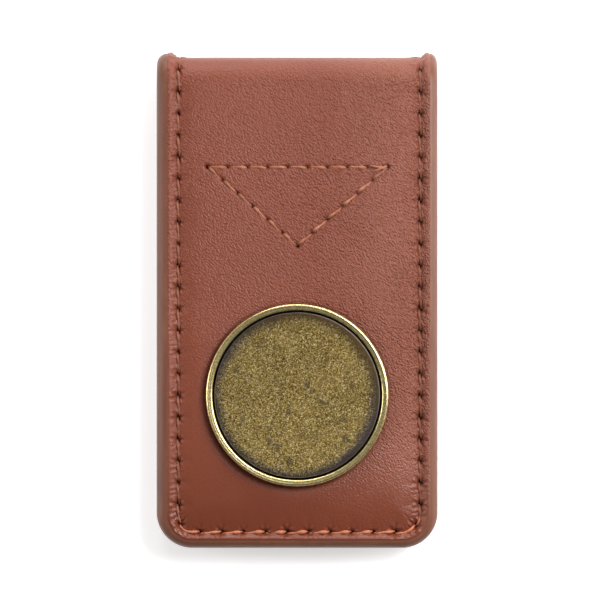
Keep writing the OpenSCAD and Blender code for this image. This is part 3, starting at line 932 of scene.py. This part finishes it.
def edge_paint(name):
    """Several coats of edge paint over the cut leather: smooth, waxy, a little uneven along its length."""
    n = Surface(name)
    along = n.noise(n.mapped(n.mm, scale=(1, 0.22, 2.2)), 1.4, 3, 0.55)
    fine = n.noise(n.mm, 0.35)
    coats = n.noise(n.mapped(n.mm, scale=(0.08, 0.08, 3)), 1)
    color = n.layers(
        (0.13, 0.049, 0.028),
        (along, 0.3, 0.7, (0.16, 0.062, 0.036)),
        (coats, 0.4, 0.6, 0, 0.35, (0.105, 0.04, 0.026)))
    height = n.plus(n.multiply(fine, 0.3), along, 0.8)
    return n.finish(color, 0.42, height, 0.03, Specular_IOR_Level=0.28)


def flesh_side(name):
    """The raw, fibrous underside of the leather."""
    n = Surface(name)
    fibres = n.noise(n.mm, 0.3, 4, 0.7)
    return n.finish(n.mix(fibres, (0.3, 0.14, 0.075), (0.44, 0.23, 0.13)), 0.9, fibres, 0.08)


def lining_leather(name, low, high, painted=False):
    """Thin, smooth lining leather with faint printed grain, or its painted edge."""
    n = Surface(name)
    pebble = n.cells(n.warp(n.mm, 2, 0.5), 0.5, 0.6)
    broad = n.noise(n.mm, 7)
    color = n.layers(low, (broad, 0.3, 0.7, high), (pebble, 0.25, 0.6, 0, 0.25, (0.1, 0.036, 0.02)))
    roughness = 0.4 if painted else n.ramp(broad, 0.3, 0.7, 0.5, 0.6)
    return n.finish(color, roughness, pebble, 0.02, Specular_IOR_Level=0.18)


def sewing_thread(name):
    """Waxed, twisted thread, more orange than the leather, and brightest along the free end."""
    n = Surface(name)
    fibres = n.noise(n.mapped(n.mm, turn_z=30, scale=(1, 4, 2)), 0.25, 3, 0.6)
    broad = n.noise(n.mm, 2.5, 1, 0.5)
    x, y, _ = n.axes(n.mm)
    color = n.layers(
        (0.27, 0.092, 0.048),
        (broad, 0.3, 0.7, (0.37, 0.15, 0.085)),
        (x, -17, -15, 0.6, 0, (0.17, 0.052, 0.028)),  # painted shade along both sides
        (x, 15, 17, 0, 0.85, (0.165, 0.046, 0.026)),
        (y, -34, -33, 1, 0, (0.52, 0.17, 0.085)),  # bright at the open end
        (fibres, 0.35, 0.6, 0.45, 0, (0.11, 0.028, 0.013)))
    return n.finish(color, 0.5, fibres, 0.04, Specular_IOR_Level=0.25, Sheen_Weight=0.08,
                    Sheen_Roughness=0.4)


def marker_brass(name):
    """Antiqued brass: darkened, then rubbed back to bright specks, darker in a band round the edge, with
    painted shade towards +X and +Y and a painted highlight on the very edge.
    """
    n = Surface(name)
    grains = n.axes(n.cells(n.warp(n.mm, 0.4, 0.2), 0.12, output="Color"))[0]
    speck = n.plus(n.multiply(n.noise(n.mm, 0.2, 3, 0.8), 0.45), grains, 0.55)
    grit = n.noise(n.mm, 0.6, 3, 0.7)
    broad = n.noise(n.mm, 5, 3, 0.55)
    spots = n.noise(n.mapped(n.mm, location=(3.1, 7.7, 0)), 2.2, 2, 0.6)
    x, y, _ = n.axes(n.mm)
    slope = n.plus(n.math("SUBTRACT", y, CUP_Y), x, 0.6)
    from_axis = n.mapped(n.mm, location=(0, -CUP_Y, 0), scale=(1, 1, 0))
    off_axis = n.add("VectorMath", (from_axis,), operation="LENGTH").outputs["Value"]
    # The dark band's inner edge is ragged, and nearer the middle on the +X side
    edge = n.plus(off_axis, n.math("SUBTRACT", speck, 0.5), -1.2)
    edge = n.plus(edge, n.math("SUBTRACT", broad, 0.5), 1.6)
    edge = n.plus(n.plus(edge, y, 0.01), x, 0.03)
    dark_band = n.layers((0.04, 0.034, 0.038), (slope, 0, MARKER_R, (0.046, 0.03, 0.014)))
    color = n.layers(
        (0.034, 0.019, 0.004),
        (speck, 0.28, 0.68, (0.56, 0.39, 0.105)),
        (speck, 0.66, 0.74, (1, 0.84, 0.46)),  # rubbed bright
        (grit, 0.42, 0.62, 0.4, 0, (0.1, 0.07, 0.028)),  # tarnish, fine and broad
        (broad, 0.35, 0.65, 0.2, 0, (0.085, 0.055, 0.018)),
        (broad, 0.45, 0.7, 0, 0.25, (0.34, 0.24, 0.085)),
        (spots, 0.62, 0.69, 0, 0.65, (0.062, 0.05, 0.04)),
        # Painted shade, darker towards +X and +Y
        (slope, -MARKER_R * 1.2, MARKER_R * 1.2, 0, 0.42, (0.032, 0.019, 0.004)),
        (edge, MARKER_R - 2.2, MARKER_R - 0.4, 0, 0.96, dark_band),
        (off_axis, MARKER_R - 0.16, MARKER_R - 0.08, 0, 0.5, (0.34, 0.31, 0.28)))  # painted highlight along the edge
    height = n.plus(n.multiply(grit, 0.5), speck, 1)
    return n.finish(color, n.ramp(speck, 0.35, 0.65, 0.5, 0.3), height, 0.05, Metallic=1)


def cup_brass(name):
    """The cup's brass, rubbed bright on the rim, with painted shade, nearly black, in the recess."""
    n = Surface(name)
    speck = n.noise(n.mm, 0.3, 3, 0.6)
    high = n.ramp(n.axes(n.mm)[2], HALF_T + CUP_FLOOR_H + 0.3, HALF_T + CUP_TOP_H - 0.25)
    rubbed = n.layers((0.46, 0.35, 0.13), (speck, 0.35, 0.65, (0.74, 0.62, 0.32)))
    # Painted shade: nearly black low in the recess
    color = n.mix(high, (0.03, 0.024, 0.018), rubbed)
    return n.finish(color, 0.26, speck, 0.006, Metallic=1)


def plain_metal(name, color, roughness):
    """Plated or pressed steel with a fine brushed finish."""
    n = Surface(name)
    brush = n.noise(n.mapped(n.mm, scale=(0.25, 6, 6)), 1, 3, 0.6)
    tint = n.layers(color, (brush, 0.3, 0.7, 0, 0.35, tuple(c * 0.6 for c in color)))
    return n.finish(tint, n.ramp(brush, 0.3, 0.7, roughness, roughness + 0.12), brush, 0.004, Metallic=1)


def fibre(name, low, high, cell, depth):
    """Pressed fibre, such as board or felt."""
    n = Surface(name)
    fine = n.noise(n.mm, cell, 5, 0.7)
    return n.finish(n.mix(fine, low, high), 0.92, fine, depth)


# ---- The pieces ----
skin_materials = [grain_leather("grain_leather"), edge_paint("edge_paint"), flesh_side("flesh_side"),
                  needle_hole_shade("needle_hole_shade")]
lining_materials = [lining_leather("lining_leather", (0.17, 0.066, 0.038), (0.215, 0.088, 0.05)),
                    lining_leather("lining_edge", (0.12, 0.045, 0.028), (0.17, 0.066, 0.04), painted=True)]
thread_material = sewing_thread("sewing_thread")
rng = np.random.default_rng(7)
SIDES = ("front", "back")


def held(piece, body, slot, *nodes):
    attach(piece, body)
    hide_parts(*nodes)
    return piece


for side in SIDES:
    held(leaf_skin(f"{side}_skin", side == "front", SKIN_CELLS[side], skin_materials), f"{side}_leaf",
         "outer_leather", f"{side}_outer_leather")
for side in SIDES:
    held(leaf_lining(f"{side}_lining_skin", side == "front", lining_materials), f"{side}_leaf",
         "lining_leather", f"{side}_lining")


for zone in range(STRIPS + 1):
    for make, label, slot, radius, node, materials in (
            (fold_skin, "fold_skin", "outer_leather", BACKING_H, "fold_leather", skin_materials),
            (fold_lining, "fold_lining_skin", "lining_leather", FLANGE_H, "fold_lining", lining_materials)):
        piece = make(f"{label}_{zone + 1}", zone, materials)
        if zone:
            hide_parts(f"{node}_{zone}")
        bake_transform(piece)

leaf_holes = [-FOLD_STITCH / 2] + [FOLD_STITCH / 2 + i * PITCH for i in range(STITCHES + 1)]
leaf_holes.append(SEAM_L + FOLD_STITCH / 2)
strip_holes = [[-1.5 * FOLD_STITCH, -0.5 * FOLD_STITCH],
               [SEAM_L + 0.5 * FOLD_STITCH, SEAM_L + 1.5 * FOLD_STITCH]]
for name, rows, front, body, node in (
        ("front_seam_stitches", [leaf_holes], True, "front_leaf", "front_seam_thread"),
        ("back_seam_stitches", [leaf_holes], False, "back_leaf", "back_seam_thread"),
        ("fold_stitches_1", strip_holes, False, "fold_strip_1", "fold_thread_1"),
        ("fold_stitches_2", strip_holes, True, "fold_strip_2", "fold_thread_2")):
    held(seam_thread(name, rows, front, rng, thread_material), body, "thread", node)
held(triangle_thread("triangle_stitches", rng, thread_material), "front_leaf", "thread", "triangle_thread")
held(marker_cup("marker_cup", cup_brass("cup_brass")), "front_leaf", "cup_brass", "cup_base", "cup_rim")
held(ball_marker("marker_disc", marker_brass("marker_brass")), "marker", "marker_brass", "ball_marker")

felt = fibre("felt", (0.5, 0.45, 0.36), (0.68, 0.63, 0.54), 0.4, 0.15)
FELT_HOLE_R = {"front": box_mm("cup_washer")[1][0] + 0.2, "back": box_mm("back_magnet")[1][0] + 0.15}
for side in SIDES:
    pad = felt_pad(f"{side}_felt", f"{side}_padding", side == "front", FELT_HOLE_R[side], felt)
    held(pad, f"{side}_leaf", "padding", f"{side}_padding")

# The CAD nodes that are carried over, all of them sealed inside the leaves
board = fibre("fibre_board", (0.28, 0.19, 0.11), (0.42, 0.31, 0.2), 0.5, 0.05)
for material, names in (
        (plain_metal("washer_steel", (0.6, 0.6, 0.6), 0.35), ("cup_washer",)),
        (plain_metal("nickel", (0.72, 0.71, 0.68), 0.2), ("front_magnet", "back_magnet")),
        (board, ("front_board", "back_board"))):
    for name in names:
        slots = frame["nodes"][name].data.materials
        slots.clear()
        slots.append(material)

# ---- Floor, light and camera ----
FLOOR_HALF = 600
FLOOR_GAP = 0.02  # keeps the floor and the leather on it out of one plane
VIEW_W = 92.5  # what the camera's frame covers at the clip's height
CAMERA_H = 600
AIM_X, AIM_Y = 0.43, 0.08
SENSOR = 36
WHITE = (1.0, 1.0, 1.0)

floor_mesh = bpy.data.meshes.new("floor")
floor_mesh.from_pydata([(x * FLOOR_HALF * MM, y * FLOOR_HALF * MM, -FLOOR_GAP * MM)
                        for x, y in ((-1, -1), (1, -1), (1, 1), (-1, 1))], [], [(0, 1, 2, 3)])
floor_mesh.materials.append(Surface("pale_floor").finish(
    (0.93, 0.93, 0.93), 0.9, Specular_IOR_Level=0.1, Emission_Color=WHITE, Emission_Strength=0.46))
in_scene("floor", floor_mesh)


def softbox(name, place, size, power):
    """A rectangular area light, in millimetres and watts, that faces the clip."""
    light = bpy.data.lights.new(name, "AREA")
    light.shape = "RECTANGLE"
    light.size, light.size_y = size[0] * MM, size[1] * MM
    light.energy = power
    lamp = in_scene(name, light)
    lamp.location = Vector(place) * MM
    lamp.rotation_euler = (-Vector(place)).to_track_quat("-Z", "Y").to_euler()


softbox("key", (85, 50, 170), (90, 90), 0.42)
softbox("top", (0, 300, 130), (260, 100), 0.65)
softbox("right", (260, 30, 80), (100, 260), 0.45)
softbox("left", (-260, 0, 80), (100, 260), 0.3)

# The light all round is darkest straight above, and brighter from the fold's end
world = bpy.data.worlds.new("tent")
scene.world = world
world.use_nodes = True
sky = Nodes(world.node_tree)
_, y, z = sky.axes(sky.add("TexCoord").outputs["Generated"])
strength = sky.multiply(sky.ramp(z, 0.1, 0.95, 0.8, 0.25), sky.ramp(y, -0.8, 0.6, 0.4, 1.15))
background = world.node_tree.nodes["Background"]
sky.put(background.inputs["Strength"], strength)
sky.put(background.inputs["Color"], WHITE)

camera_data = bpy.data.cameras.new("camera")
camera_data.sensor_width = SENSOR
camera_data.lens = SENSOR * CAMERA_H / VIEW_W
camera_data.clip_start, camera_data.clip_end = 0.01, 10
camera = in_scene("camera", camera_data)
camera.location = (AIM_X * MM, AIM_Y * MM, (CAMERA_H + HALF_T * 1.5) * MM)
bpy.context.scene.camera = camera
scene.view_settings.view_transform = "Standard"
